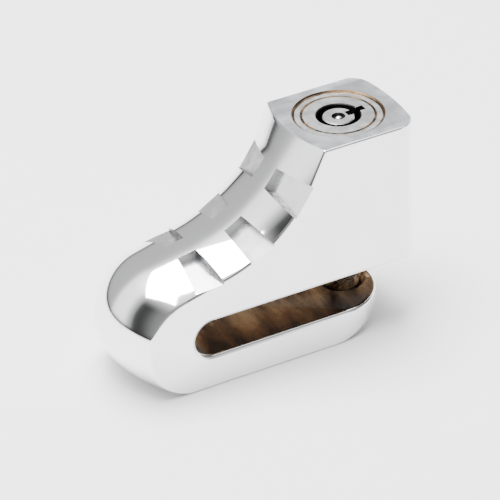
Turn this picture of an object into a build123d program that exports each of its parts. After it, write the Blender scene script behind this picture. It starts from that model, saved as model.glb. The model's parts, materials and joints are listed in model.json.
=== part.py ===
from build123d import *
import math
import os

# Motorcycle disc brake lock, in millimetres.
# The origin is where the lock's axis meets the sole. +X points from the toe to the heel, where the
# slot is open, +Y is across the lock and +Z is up, along the bolt.
# It is drawn locked: the plunger is pushed down and the bolt crosses the slot.

# ---- driving dimensions of the casting ----
WIDTH = 25.0
HEIGHT = 49.5
HEEL_X = 13.4              # furthest point of the bowed heel face
HEEL_BOW = 1.4             # how far the heel face bows out
HEEL_CORNER = 4.0          # upright corners of the heel
HEEL_FOOT = 4.0            # rounding under the heel, at the slot's mouth
SLOT_FLOOR = 7.8
SLOT_ROOF = 16.4
SLOT_END = -42.6           # closed end of the slot
SLOT_LIP = 0.8             # rounded edges of the slot at the side faces
JAW_END = 6.8              # end of the lower jaw, a full round seen from above
JAW_FOOT = 5.5             # height of the rounding under the jaw's end
JAW_TUCK = 4.2             # how far the sole stops short of the jaw's end
JAW_STEPS = (0.0, 0.15, 0.4, 0.7, 1.0)    # levels of that rounding, as parts of its height

# The side outline at the side faces and along the crest: place of the plateau's front edge, slope of
# the instep, radius of the saddle, slope of the vamp, radius and place of the toe.
SIDE = dict(front=-10.4, instep=64.7, saddle=32.0, vamp=14.4, toe=11.9, toe_x=-41.9)
CREST = dict(front=-12.7, instep=59.0, saddle=33.0, vamp=11.0, toe=13.7, toe_x=-44.8)

# ---- notches in the saddle, in mirrored pairs ----
# angle below the horizontal round the saddle's axis, length at the side, length at the ridge
NOTCHES = ((34.5, 7.7, 5.0), (59.5, 6.3, 4.8), (83.7, 6.6, 4.4))
NOTCH_DEPTH = 0.5          # below the side edge
NOTCH_RISE = 1.7           # how much the floor rises towards the ridge
RIDGE = 4.7                # width of the ridge between the notches

# ---- plunger and bolt ----
TRAVEL = 12.6
FACE_Z = HEIGHT - 0.4      # the key face, when locked
BORE_R = 9.8
BORE_FLOOR = 19.4
RUNNING = 0.05             # radial clearance of the sliding and turning fits
SLEEVE_R = BORE_R - RUNNING
SLEEVE_BOTTOM = 23.5
BOLT_R = 4.0
BOLT_TIP = 4.4
BOLT_TOP = 24.5
SOCKET_R = 4.3
SOCKET_FLOOR = 3.6
SOCKET_RIM = 1.1           # countersink round the socket
BORE_RIM = 0.3
BOLT_CHAMFER = 1.0
SCREW_R = 2.0
SCREW_HEAD_R = 3.6
SCREW_END = 16.0
SCREW_HEX = 1.3            # across the corners, half of it, and deep
SPRING_R = 7.3             # return spring, to the middle of its wire
SPRING_WIRE_R = 0.5
SPRING_TURNS = 4.5
SPRING_POCKET_TOP = 26.6
SPRING_ROOM = 0.6          # room round the return spring's wire in its pocket

# ---- latch chamber in the sleeve's floor ----
CHAMBER_R = 4.2
CHAMBER_FLOOR = 27.1
LATCH_WIDTH = 4.9
LATCH_HEIGHT = 3.9
LATCH_NOSE = BORE_R - 0.1
LATCH_HEEL = 4.6           # inner end of the latch
LATCH_BORE_R = 0.9
LATCH_AXIS_Z = 28.5
LATCH_BEVEL = 1.0          # lower edge of the nose, so that the latch cams itself in
LATCH_WALL = 1.1           # left between the latch's bore and its nose
LATCH_SPRING_R = 0.6
LATCH_WIRE_R = 0.15
LATCH_TURNS = 5
POCKET_R = 11.8            # reach of the latch pockets in the bore's wall
POCKET_SLACK = 0.3

# ---- round-key cylinder ----
BARREL_R = 8.0
BARREL_SEAT = 31.5
CYLINDER_R = 6.5           # bore of the barrel behind its front wall
FRONT_WALL = 4.0
KEYWAY_R = 4.8
POST_R = 3.5
POST_TOP = FACE_Z - 0.3
KEY_NOTCH = 1.8            # width of the notches in the barrel and in the post
KEY_NOTCH_REACH = 6.3
POST_NOTCH_R = 2.0         # inner end of the post's notch
FACE_CHAMFER = 0.3         # edges of the sleeve and the barrel at the key face
POST_DISH_R = 1.45
POST_DISH = 0.7
BALL_R = 0.9
BALL_SEAT_R = 0.92
BALL_SEAT = 1.85
SHEAR_Z = 39.1
TUMBLER_CIRCLE = 4.15
TUMBLER_R = 0.6
TUMBLER_HOLE_R = 0.62
TUMBLER_ANGLES = (45, 90, 135, 180, 225, 270, 315)
KEY_PIN_LENGTHS = (5.2, 4.8, 5.5, 5.0, 4.6, 5.4, 4.9)
DRIVER_LENGTH = 2.4
DRIVER_FLOOR = 32.3
DRIVER_SPRING_R = 0.42
DRIVER_WIRE_R = 0.1
DRIVER_TURNS = 5
PIN_CHAMFER = 0.15
TAIL_R = 2.0
TAIL_SQUARE = 2.6
CAM_TOP = 31.4
CAM_BOTTOM = 29.4
CAM_PIN_RADIUS = 3.0
CAM_PIN_R = 0.6
CAM_R = 2.7
CAM_ARM = 0.4              # the cam's metal round its pin
CAM_PIN_GAP = 0.3
CLIP_R = 2.1
CLIP = 0.7
STUB_R = 1.2
STUB_END = 28.1

# ---- small pins ----
LIMIT_PIN_R = 1.25
LIMIT_PIN_Z = 42.5
LIMIT_PIN_END = 8.65
GROOVE_DEPTH_Y = 8.5
GROOVE_SPARE = 1.0         # the groove runs on above the pin when the lock is closed
PIN_SHORT = 0.1            # how far pressed pins end below the surface round them
BARREL_PIN_R = 0.9
BARREL_PIN_Z = 36.0
BUSHING_PIN_R = 0.7
BUSHING_PIN_Z = 34.0
BUSHING_PIN_END = 5.3

HALF = WIDTH / 2
SINK = 0.25                # how far the toe's round runs on below the sole before it is cut flat
BACK = HEEL_X + 8.0        # beyond every part of the heel
OVER = 4.0                 # how far raw shapes run past the faces that trim them
TOP_Z = HEIGHT + OVER

os.makedirs("parts", exist_ok=True)


def write(builder, name):
    """Label one finished piece and write it as its own file."""
    builder.part.label = name
    export_step(builder.part, f"parts/{name}.step")


def boot_outline(front, instep, saddle, vamp, toe, toe_x):
    """Side outline of the boot, drawn into the line that is open: instep, saddle, vamp and toe."""
    steep = math.radians(instep)
    gentle = math.radians(vamp)
    up = Vector(math.cos(steep), math.sin(steep))
    along = Vector(math.cos(gentle), math.sin(gentle))
    toe_centre = Vector(toe_x, toe - SINK)
    toe_top = toe_centre + Vector(-math.sin(gentle), math.cos(gentle)) * toe
    toe_sole = Vector(toe_x, -SINK)
    plateau = Vector(front, HEIGHT)
    gap = plateau - toe_top
    crossing = toe_top + along * ((gap.X * up.Y - gap.Y * up.X) / (along.X * up.Y - along.Y * up.X))
    half_turn = (steep - gentle) / 2
    reach = saddle * math.tan(half_turn)
    bisector = (steep + gentle + math.pi) / 2
    towards = Vector(math.cos(bisector), math.sin(bisector))
    saddle_middle = crossing + towards * (saddle / math.cos(half_turn) - saddle)
    saddle_top = crossing + up * reach
    saddle_foot = crossing - along * reach
    crown = plateau + up * (OVER / up.Y)
    Line(toe_sole, (BACK, -SINK))
    Line((BACK, -SINK), (BACK, TOP_Z))
    Line((BACK, TOP_Z), crown)
    Line(crown, saddle_top)
    ThreePointArc(saddle_top, saddle_middle, saddle_foot)
    Line(saddle_foot, toe_top)
    ThreePointArc(toe_top, toe_centre - Vector(toe, 0), toe_sole)


def saddle_centre():
    """Axis of the saddle's round at the side faces, in X and Z."""
    steep = math.radians(SIDE["instep"])
    gentle = math.radians(SIDE["vamp"])
    toe_top_x = SIDE["toe_x"] - math.sin(gentle) * SIDE["toe"]
    toe_top_z = SIDE["toe"] - SINK + math.cos(gentle) * SIDE["toe"]
    rise = HEIGHT - toe_top_z
    run = SIDE["front"] - toe_top_x
    crossing_x = (rise - math.tan(steep) * run) / (math.tan(gentle) - math.tan(steep)) + toe_top_x
    crossing_z = toe_top_z + math.tan(gentle) * (crossing_x - toe_top_x)
    bisector = (steep + gentle + math.pi) / 2
    away = SIDE["saddle"] / math.cos((steep - gentle) / 2)
    return crossing_x + away * math.cos(bisector), crossing_z + away * math.sin(bisector)


# ---- lock_body: the casting ----
SLOT_R = (SLOT_ROOF - SLOT_FLOOR) / 2
SLOT_CENTRE = SLOT_END + SLOT_R
SLOT_MID = (SLOT_FLOOR + SLOT_ROOF) / 2
JAW_CENTRE = JAW_END - HALF

with BuildPart() as lock_body:
    # the boot, crowned across its width
    for place, outline in ((HALF, SIDE), (0, CREST), (-HALF, SIDE)):
        with BuildSketch(Plane.XZ.offset(place)):
            with BuildLine():
                boot_outline(**outline)
            make_face()
    loft()
    # the flat sole and the flat plateau
    split(bisect_by=Plane.XY, keep=Keep.TOP)
    split(bisect_by=Plane.XY.offset(HEIGHT), keep=Keep.BOTTOM)
    # the slot for the brake disc, with the rounding under the heel
    with BuildSketch(Plane.XZ):
        with BuildLine():
            Line((SLOT_CENTRE, SLOT_FLOOR), (BACK + OVER, SLOT_FLOOR))
            Line((BACK + OVER, SLOT_FLOOR), (BACK + OVER, SLOT_ROOF + HEEL_FOOT))
            Line((BACK + OVER, SLOT_ROOF + HEEL_FOOT), (HEEL_X, SLOT_ROOF + HEEL_FOOT))
            RadiusArc((HEEL_X, SLOT_ROOF + HEEL_FOOT), (HEEL_X - HEEL_FOOT, SLOT_ROOF), HEEL_FOOT)
            Line((HEEL_X - HEEL_FOOT, SLOT_ROOF), (SLOT_CENTRE, SLOT_ROOF))
            ThreePointArc((SLOT_CENTRE, SLOT_ROOF), (SLOT_END, SLOT_MID), (SLOT_CENTRE, SLOT_FLOOR))
        make_face()
    extrude(amount=WIDTH, both=True, mode=Mode.SUBTRACT)
    rims = [
        edge
        for edge in lock_body.edges()
        if abs(abs(edge.center().Y) - HALF) < 0.01
        and SLOT_FLOOR - 0.1 < edge.center().Z < SLOT_ROOF + SLOT_LIP + 1
        and edge.center().X < HEEL_X
        and edge.geom_type in (GeomType.LINE, GeomType.CIRCLE)
    ]
    fillet(rims, SLOT_LIP)
    # the bowed heel with its upright corners
    bow_side = HALF - HEEL_CORNER
    bow_x = HEEL_X - HEEL_BOW / 2
    corner_x = HEEL_X - HEEL_BOW - HEEL_CORNER
    with BuildSketch(Plane.XY):
        with BuildLine():
            bow = ThreePointArc((bow_x, -bow_side), (HEEL_X, 0), (bow_x, bow_side))
            near = Line((0, -HALF), (corner_x, -HALF))
            far = Line((0, HALF), (corner_x, HALF))
            TangentArc(near @ 1, bow @ 0, tangent=(1, 0))
            TangentArc(far @ 1, bow @ 1, tangent=(1, 0))
            Polyline((0, HALF), (0, HALF + OVER), (BACK + OVER, HALF + OVER), (BACK + OVER, -HALF - OVER),
                     (0, -HALF - OVER), (0, -HALF))
        make_face()
    extrude(amount=HEIGHT, mode=Mode.SUBTRACT)
    # the lower jaw's rounded end, tucked in towards the sole
    for step in JAW_STEPS:
        tuck = JAW_TUCK * (1 - math.sqrt(1 - (1 - step) ** 2))
        with BuildSketch(Plane.XY.offset(JAW_FOOT * step)):
            with BuildLine():
                start = JAW_CENTRE - tuck
                Line((start, -HALF - OVER), (BACK + OVER, -HALF - OVER))
                Line((BACK + OVER, -HALF - OVER), (BACK + OVER, HALF + OVER))
                Line((BACK + OVER, HALF + OVER), (start, HALF + OVER))
                Line((start, HALF + OVER), (start, HALF))
                ThreePointArc((start, HALF), (start + HALF, 0), (start, -HALF))
                Line((start, -HALF), (start, -HALF - OVER))
            make_face()
    loft(mode=Mode.SUBTRACT)
    with BuildSketch(Plane.XY.offset(JAW_FOOT)):
        with Locations((JAW_CENTRE + HALF + OVER, 0)):
            Rectangle(2 * HALF + 2 * OVER, WIDTH + 2 * OVER)
        with Locations((JAW_CENTRE, 0)):
            Circle(HALF, mode=Mode.SUBTRACT)
    extrude(amount=SLOT_MID - JAW_FOOT, mode=Mode.SUBTRACT)
    # bore of the plunger, hole of the bolt and its socket in the jaw
    with BuildSketch(Plane.XY.offset(BORE_FLOOR)):
        Circle(BORE_R)
    extrude(amount=HEIGHT, mode=Mode.SUBTRACT)
    with BuildSketch(Plane.XY.offset(SLOT_MID)):
        Circle(BOLT_R + RUNNING)
    extrude(amount=HEIGHT, mode=Mode.SUBTRACT)
    with BuildSketch(Plane.XY.offset(SOCKET_FLOOR)):
        Circle(SOCKET_R)
    extrude(amount=SLOT_MID - SOCKET_FLOOR, mode=Mode.SUBTRACT)
    for radius, level, width in ((SOCKET_R, SLOT_FLOOR, SOCKET_RIM), (BORE_R, HEIGHT, BORE_RIM)):
        rim = [
            edge
            for edge in lock_body.edges().filter_by(GeomType.CIRCLE)
            if abs(edge.radius - radius) < 0.01 and abs(edge.center().Z - level) < 0.01
        ]
        chamfer(rim, width)
    # two pockets in the bore's wall: the lower one locks, the upper one holds the plunger up
    for lift in (0, TRAVEL):
        pocket_bottom = CHAMBER_FLOOR + lift - POCKET_SLACK
        with BuildSketch(Plane.XY.offset(pocket_bottom)):
            with Locations((-(POCKET_R + SLEEVE_R / 2) / 2, 0)):
                Rectangle(POCKET_R - SLEEVE_R / 2, LATCH_WIDTH + 2 * POCKET_SLACK)
        extrude(amount=LATCH_HEIGHT + 2 * POCKET_SLACK, mode=Mode.SUBTRACT)
    # hole of the limit pin, through the far side wall
    with BuildSketch(Plane.XZ.offset(-SLEEVE_R / 2)):
        with Locations((0, LIMIT_PIN_Z)):
            Circle(LIMIT_PIN_R)
    extrude(amount=-WIDTH, mode=Mode.SUBTRACT)
    # the notches: a tilted flat floor each, cut open to the side face
    axis_x, axis_z = saddle_centre()
    for angle, side_length, ridge_length in NOTCHES:
        turn = math.radians(angle)
        outward = Vector(-math.cos(turn), 0, math.sin(turn))
        downhill = Vector(-math.sin(turn), 0, -math.cos(turn))
        reach = SIDE["saddle"] + NOTCH_DEPTH
        floor_x = axis_x - outward.X * reach
        floor_z = axis_z - outward.Z * reach
        inner = HALF - RIDGE / 2
        tilt = math.atan2(NOTCH_RISE, inner)
        for side in (-1, 1):
            normal = outward * math.cos(tilt) + Vector(0, side * math.sin(tilt), 0)
            floor = Plane(origin=(floor_x, side * HALF, floor_z), x_dir=downhill, z_dir=normal)
            inward = inner / math.cos(tilt)
            flare = (side_length - ridge_length) / 2 / inward
            past = side_length / 2 + flare * OVER
            with BuildSketch(floor):
                with BuildLine():
                    if side < 0:
                        Polyline((-past, OVER), (-ridge_length / 2, -inward), (ridge_length / 2, -inward),
                                 (past, OVER), close=True)
                    else:
                        Polyline((-past, -OVER), (-ridge_length / 2, inward), (ridge_length / 2, inward),
                                 (past, -OVER), close=True)
                make_face()
            extrude(amount=3 * OVER, mode=Mode.SUBTRACT)
write(lock_body, "lock_body")

# ---- limit_pin: pressed into the far side wall, its inner end runs in the sleeve's groove ----
with BuildPart() as limit_pin:
    with BuildSketch(Plane.XZ.offset(-LIMIT_PIN_END)):
        with Locations((0, LIMIT_PIN_Z)):
            Circle(LIMIT_PIN_R)
    extrude(amount=-(HALF - PIN_SHORT - LIMIT_PIN_END))
    chamfer(limit_pin.edges().group_by(Axis.Y)[-1], PIN_CHAMFER)
write(limit_pin, "limit_pin")


def coil(radius, wire_r, length, turns, foot, way=(0, 0, 1)):
    """Middle line of a helical spring that starts at its foot, drawn into the line that is open."""
    rise = length - 2 * wire_r
    start = Vector(foot) + Vector(way) * wire_r
    Helix(pitch=rise / turns, height=rise, radius=radius, center=start, direction=way)


# ---- return_spring: round the bolt, between the bore's floor and the sleeve's pocket ----
with BuildPart() as return_spring:
    with BuildLine() as path:
        coil(SPRING_R, SPRING_WIRE_R, SPRING_POCKET_TOP - BORE_FLOOR - 2 * RUNNING, SPRING_TURNS,
             (0, 0, BORE_FLOOR))
    with BuildSketch(Plane(origin=path.line @ 0, z_dir=path.line % 0)):
        Circle(SPRING_WIRE_R)
    sweep(is_frenet=True)
write(return_spring, "return_spring")

# ---- plunger_sleeve: slides in the bore and carries the cylinder, the latch and the bolt ----
SCREW_HEAD_Z = CHAMBER_FLOOR - (SCREW_HEAD_R - SCREW_R)
with BuildPart() as plunger_sleeve:
    with BuildSketch(Plane.XY.offset(SLEEVE_BOTTOM)):
        Circle(SLEEVE_R)
    extrude(amount=FACE_Z - SLEEVE_BOTTOM)
    with BuildSketch(Plane.XY.offset(BARREL_SEAT)):
        Circle(BARREL_R)
    extrude(amount=HEIGHT, mode=Mode.SUBTRACT)
    with BuildSketch(Plane.XY.offset(CHAMBER_FLOOR)):
        Circle(CHAMBER_R)
        with Locations((-SLEEVE_R, 0)):
            Rectangle(2 * SLEEVE_R, LATCH_WIDTH + 2 * RUNNING)
    extrude(amount=LATCH_HEIGHT + 2 * RUNNING, mode=Mode.SUBTRACT)
    with BuildSketch(Plane.XY.offset(CHAMBER_FLOOR)):
        Circle(CHAMBER_R)
    extrude(amount=BARREL_SEAT - CHAMBER_FLOOR, mode=Mode.SUBTRACT)
    # pocket of the return spring
    with BuildSketch(Plane.XY.offset(SLEEVE_BOTTOM)):
        Circle(SPRING_R + SPRING_WIRE_R + SPRING_ROOM)
        Circle(SPRING_R - SPRING_WIRE_R - SPRING_ROOM, mode=Mode.SUBTRACT)
    extrude(amount=SPRING_POCKET_TOP - SLEEVE_BOTTOM, mode=Mode.SUBTRACT)
    # seat of the bolt and its countersunk screw
    with BuildSketch(Plane.XY.offset(SLEEVE_BOTTOM)):
        Circle(BOLT_R)
    extrude(amount=BOLT_TOP - SLEEVE_BOTTOM, mode=Mode.SUBTRACT)
    with BuildSketch(Plane.XY.offset(BOLT_TOP)):
        Circle(SCREW_R)
    extrude(amount=CHAMBER_FLOOR - BOLT_TOP, mode=Mode.SUBTRACT)
    with BuildSketch(Plane.XZ):
        with BuildLine():
            Polyline((0, CHAMBER_FLOOR), (SCREW_HEAD_R, CHAMBER_FLOOR), (SCREW_R, SCREW_HEAD_Z),
                     (0, SCREW_HEAD_Z), close=True)
        make_face()
    revolve(axis=Axis.Z, mode=Mode.SUBTRACT)
    # groove of the limit pin
    groove_top = LIMIT_PIN_Z + LIMIT_PIN_R + GROOVE_SPARE
    groove_bottom = LIMIT_PIN_Z - LIMIT_PIN_R - TRAVEL - RUNNING
    with BuildSketch(Plane.XZ.offset(-GROOVE_DEPTH_Y)):
        with Locations((0, (groove_top + groove_bottom) / 2)):
            SlotOverall(groove_top - groove_bottom, 2 * LIMIT_PIN_R + 2 * RUNNING, rotation=90)
    extrude(amount=-OVER, mode=Mode.SUBTRACT)
    # hole of the barrel pin
    with BuildSketch(Plane.YZ.offset(CYLINDER_R)):
        with Locations((0, BARREL_PIN_Z)):
            Circle(BARREL_PIN_R)
    extrude(amount=OVER, mode=Mode.SUBTRACT)
    chamfer(plunger_sleeve.edges().group_by(Axis.Z)[-1], FACE_CHAMFER)
write(plunger_sleeve, "plunger_sleeve")

# ---- core_barrel: front of the round-key cylinder ----
with BuildPart() as core_barrel:
    with BuildSketch(Plane.XY.offset(BARREL_SEAT)):
        Circle(BARREL_R)
    extrude(amount=FACE_Z - BARREL_SEAT)
    chamfer(core_barrel.edges().group_by(Axis.Z)[-1], FACE_CHAMFER)
    with BuildSketch(Plane.XY.offset(BARREL_SEAT)):
        Circle(CYLINDER_R)
    extrude(amount=FACE_Z - FRONT_WALL - BARREL_SEAT, mode=Mode.SUBTRACT)
    with BuildSketch(Plane.XY.offset(FACE_Z - FRONT_WALL)):
        Circle(KEYWAY_R)
        with Locations((KEY_NOTCH_REACH / 2, 0)):
            Rectangle(KEY_NOTCH_REACH, KEY_NOTCH)
    extrude(amount=HEIGHT, mode=Mode.SUBTRACT)
    with BuildSketch(Plane.YZ.offset(TUMBLER_CIRCLE)):
        with Locations((0, BARREL_PIN_Z)):
            Circle(BARREL_PIN_R)
    extrude(amount=BARREL_R, mode=Mode.SUBTRACT)
    with BuildSketch(Plane.YZ.offset(-SLEEVE_R)):
        with Locations((0, BUSHING_PIN_Z)):
            Circle(BUSHING_PIN_R)
    extrude(amount=OVER, mode=Mode.SUBTRACT)
write(core_barrel, "core_barrel")

# ---- barrel_pin and bushing_pin: radial pins that fix the cylinder's pieces ----
with BuildPart() as barrel_pin:
    with BuildSketch(Plane.YZ.offset(CYLINDER_R + PIN_SHORT)):
        with Locations((0, BARREL_PIN_Z)):
            Circle(BARREL_PIN_R)
    extrude(amount=SLEEVE_R - CYLINDER_R - 3 * PIN_SHORT)
write(barrel_pin, "barrel_pin")

with BuildPart() as bushing_pin:
    with BuildSketch(Plane.YZ.offset(-BARREL_R + PIN_SHORT)):
        with Locations((0, BUSHING_PIN_Z)):
            Circle(BUSHING_PIN_R)
    extrude(amount=BARREL_R - PIN_SHORT - BUSHING_PIN_END)
write(bushing_pin, "bushing_pin")

# ---- tumbler_bushing: fixed disc with the driver pins' blind holes ----
with BuildPart() as tumbler_bushing:
    with BuildSketch(Plane.XY.offset(BARREL_SEAT)):
        Circle(CYLINDER_R)
        Circle(TAIL_R + RUNNING, mode=Mode.SUBTRACT)
    extrude(amount=SHEAR_Z - RUNNING - BARREL_SEAT)
    with BuildSketch(Plane.XY.offset(DRIVER_FLOOR)):
        for angle in TUMBLER_ANGLES:
            with PolarLocations(TUMBLER_CIRCLE, 1, start_angle=angle):
                Circle(TUMBLER_HOLE_R)
    extrude(amount=HEIGHT, mode=Mode.SUBTRACT)
    with BuildSketch(Plane.YZ.offset(-BARREL_R)):
        with Locations((0, BUSHING_PIN_Z)):
            Circle(BUSHING_PIN_R)
    extrude(amount=BARREL_R - BUSHING_PIN_END, mode=Mode.SUBTRACT)
write(tumbler_bushing, "tumbler_bushing")

# ---- spindle: post, flange with the key pins' holes, tail with a square and a stub ----
FLANGE_TOP = FACE_Z - FRONT_WALL - RUNNING
with BuildPart() as spindle:
    with BuildSketch(Plane.XY.offset(SHEAR_Z)):
        Circle(CYLINDER_R - RUNNING)
    extrude(amount=FLANGE_TOP - SHEAR_Z)
    with BuildSketch(Plane.XY.offset(SHEAR_Z)):
        Circle(POST_R)
    extrude(amount=POST_TOP - SHEAR_Z)
    with BuildSketch(Plane.XY.offset(CAM_TOP)):
        Circle(TAIL_R)
    extrude(amount=SHEAR_Z - CAM_TOP)
    with BuildSketch(Plane.XY.offset(CAM_BOTTOM)):
        Rectangle(TAIL_SQUARE, TAIL_SQUARE)
    extrude(amount=CAM_TOP - CAM_BOTTOM)
    with BuildSketch(Plane.XY.offset(STUB_END)):
        Circle(STUB_R)
    extrude(amount=CAM_BOTTOM - STUB_END)
    with BuildSketch(Plane.XY.offset(SHEAR_Z)):
        for angle in TUMBLER_ANGLES:
            with PolarLocations(TUMBLER_CIRCLE, 1, start_angle=angle):
                Circle(TUMBLER_HOLE_R)
    extrude(amount=FLANGE_TOP - SHEAR_Z, mode=Mode.SUBTRACT)
    # the key's drive notch and the ball's seat in the post
    with BuildSketch(Plane.XY.offset(FLANGE_TOP)):
        with Locations((POST_R, 0)):
            Rectangle(2 * (POST_R - POST_NOTCH_R), KEY_NOTCH)
    extrude(amount=HEIGHT, mode=Mode.SUBTRACT)
    with BuildSketch(Plane.XY.offset(POST_TOP - POST_DISH)):
        Circle(POST_DISH_R)
    extrude(amount=HEIGHT, mode=Mode.SUBTRACT)
    with BuildSketch(Plane.XY.offset(POST_TOP - BALL_SEAT)):
        Circle(BALL_SEAT_R)
    extrude(amount=HEIGHT, mode=Mode.SUBTRACT)
write(spindle, "spindle")

# ---- anti_drill_ball: hardened, staked into the post's seat ----
with BuildPart() as anti_drill_ball:
    with BuildSketch(Plane.XZ):
        with Locations((0, POST_TOP - BALL_SEAT + BALL_R)):
            Circle(BALL_R)
            Rectangle(2 * BALL_R, 2 * BALL_R, align=(Align.MAX, Align.CENTER), mode=Mode.SUBTRACT)
    revolve(axis=Axis.Z)
write(anti_drill_ball, "anti_drill_ball")

# ---- the seven tumblers: key pin above the shear line, driver pin and spring below it ----
for number, (angle, key_length) in enumerate(zip(TUMBLER_ANGLES, KEY_PIN_LENGTHS), 1):
    turn = math.radians(angle)
    place = (TUMBLER_CIRCLE * math.cos(turn), TUMBLER_CIRCLE * math.sin(turn))
    with BuildPart() as key_pin:
        with BuildSketch(Plane.XY.offset(SHEAR_Z)):
            with Locations(place):
                Circle(TUMBLER_R)
        extrude(amount=key_length)
        chamfer(key_pin.edges().group_by(Axis.Z)[-1], PIN_CHAMFER)
    write(key_pin, f"key_pin_{number}")
    driver_bottom = SHEAR_Z - RUNNING - DRIVER_LENGTH
    with BuildPart() as driver_pin:
        with BuildSketch(Plane.XY.offset(driver_bottom)):
            with Locations(place):
                Circle(TUMBLER_R)
        extrude(amount=DRIVER_LENGTH)
        chamfer(driver_pin.edges().group_by(Axis.Z)[0], PIN_CHAMFER)
    write(driver_pin, f"driver_pin_{number}")
    with BuildPart() as driver_spring:
        with BuildLine() as path:
            coil(DRIVER_SPRING_R, DRIVER_WIRE_R, driver_bottom - DRIVER_FLOOR, DRIVER_TURNS,
                 (*place, DRIVER_FLOOR))
        with BuildSketch(Plane(origin=path.line @ 0, z_dir=path.line % 0)):
            Circle(DRIVER_WIRE_R)
        sweep(is_frenet=True)
    write(driver_spring, f"driver_spring_{number}")

# ---- cam: on the tail's square, with a pin that works the latch through its spring ----
with BuildPart() as cam:
    with BuildSketch(Plane.XY.offset(CAM_BOTTOM)):
        Circle(CAM_R)
        with Locations((-CAM_PIN_RADIUS, 0)):
            Circle(CAM_PIN_R + CAM_ARM)
        with Locations((-CAM_PIN_RADIUS / 2, 0)):
            Rectangle(CAM_PIN_RADIUS, 2 * (CAM_PIN_R + CAM_ARM))
        Rectangle(TAIL_SQUARE, TAIL_SQUARE, mode=Mode.SUBTRACT)
    extrude(amount=CAM_TOP - CAM_BOTTOM)
    with BuildSketch(Plane.XY.offset(CAM_BOTTOM)):
        with Locations((-CAM_PIN_RADIUS, 0)):
            Circle(CAM_PIN_R)
    extrude(amount=-(CAM_BOTTOM - CHAMBER_FLOOR - CAM_PIN_GAP))
write(cam, "cam")

# ---- cam_clip: on the spindle's stub, under the cam ----
with BuildPart() as cam_clip:
    with BuildSketch(Plane.XY.offset(CAM_BOTTOM - CLIP)):
        Circle(CLIP_R)
        Circle(STUB_R, mode=Mode.SUBTRACT)
    extrude(amount=CLIP)
write(cam_clip, "cam_clip")

# ---- latch: slides outwards under the barrel ----
with BuildPart() as latch:
    with BuildSketch(Plane.XY.offset(CHAMBER_FLOOR + RUNNING)):
        with Locations((-(LATCH_NOSE + LATCH_HEEL) / 2, 0)):
            Rectangle(LATCH_NOSE - LATCH_HEEL, LATCH_WIDTH)
        Circle(LATCH_NOSE, mode=Mode.INTERSECT)
    extrude(amount=LATCH_HEIGHT)
    nose = latch.faces().filter_by(GeomType.CYLINDER).edges().group_by(Axis.Z)[0]
    chamfer(nose, LATCH_BEVEL)
    with BuildSketch(Plane.YZ.offset(-LATCH_HEEL)):
        with Locations((0, LATCH_AXIS_Z)):
            Circle(LATCH_BORE_R)
    extrude(amount=-(LATCH_NOSE - LATCH_HEEL - LATCH_WALL), mode=Mode.SUBTRACT)
write(latch, "latch")

# ---- latch_spring: in the latch's bore, pushed on by the cam's pin ----
LATCH_SPRING_START = -LATCH_NOSE + LATCH_WALL + 2 * RUNNING
LATCH_SPRING_END = -CAM_PIN_RADIUS - CAM_PIN_R - 2 * RUNNING
with BuildPart() as latch_spring:
    with BuildLine() as path:
        coil(LATCH_SPRING_R, LATCH_WIRE_R, LATCH_SPRING_END - LATCH_SPRING_START, LATCH_TURNS,
             (LATCH_SPRING_START, 0, LATCH_AXIS_Z), (1, 0, 0))
    with BuildSketch(Plane(origin=path.line @ 0, z_dir=path.line % 0)):
        Circle(LATCH_WIRE_R)
    sweep(is_frenet=True)
write(latch_spring, "latch_spring")

# ---- bolt and its screw ----
with BuildPart() as bolt:
    with BuildSketch(Plane.XY.offset(BOLT_TIP)):
        Circle(BOLT_R)
    extrude(amount=BOLT_TOP - BOLT_TIP)
    chamfer(bolt.edges().group_by(Axis.Z)[0], BOLT_CHAMFER)
    with BuildSketch(Plane.XY.offset(SCREW_END - SCREW_R / 4)):
        Circle(SCREW_R)
    extrude(amount=HEIGHT, mode=Mode.SUBTRACT)
write(bolt, "bolt")

with BuildPart() as bolt_screw:
    with BuildSketch(Plane.XZ):
        with BuildLine():
            Polyline((0, SCREW_END), (SCREW_R, SCREW_END), (SCREW_R, SCREW_HEAD_Z),
                     (SCREW_HEAD_R, CHAMBER_FLOOR), (0, CHAMBER_FLOOR), close=True)
        make_face()
    revolve(axis=Axis.Z)
    with BuildSketch(Plane.XY.offset(CHAMBER_FLOOR)):
        RegularPolygon(SCREW_HEX, 6)
    extrude(amount=-SCREW_HEX, mode=Mode.SUBTRACT)
write(bolt_screw, "bolt_screw")
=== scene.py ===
import json
import math

import bmesh
import bpy
from mathutils import Matrix, Vector


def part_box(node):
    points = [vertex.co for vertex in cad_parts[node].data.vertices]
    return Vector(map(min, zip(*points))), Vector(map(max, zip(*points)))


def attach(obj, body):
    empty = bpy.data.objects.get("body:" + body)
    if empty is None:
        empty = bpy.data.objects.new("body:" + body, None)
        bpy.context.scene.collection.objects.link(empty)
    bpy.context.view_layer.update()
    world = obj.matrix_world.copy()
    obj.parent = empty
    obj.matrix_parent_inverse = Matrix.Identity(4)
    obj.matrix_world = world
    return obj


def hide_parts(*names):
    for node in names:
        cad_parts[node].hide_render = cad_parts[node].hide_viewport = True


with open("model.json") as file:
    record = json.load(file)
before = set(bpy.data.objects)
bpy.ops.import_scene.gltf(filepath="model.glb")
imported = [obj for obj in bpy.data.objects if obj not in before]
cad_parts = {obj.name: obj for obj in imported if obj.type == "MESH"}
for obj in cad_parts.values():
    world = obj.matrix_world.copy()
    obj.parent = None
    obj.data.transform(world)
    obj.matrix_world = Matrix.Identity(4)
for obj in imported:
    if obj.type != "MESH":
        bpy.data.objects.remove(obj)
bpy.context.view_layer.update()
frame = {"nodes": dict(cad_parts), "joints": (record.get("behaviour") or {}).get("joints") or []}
MM = 0.001


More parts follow.
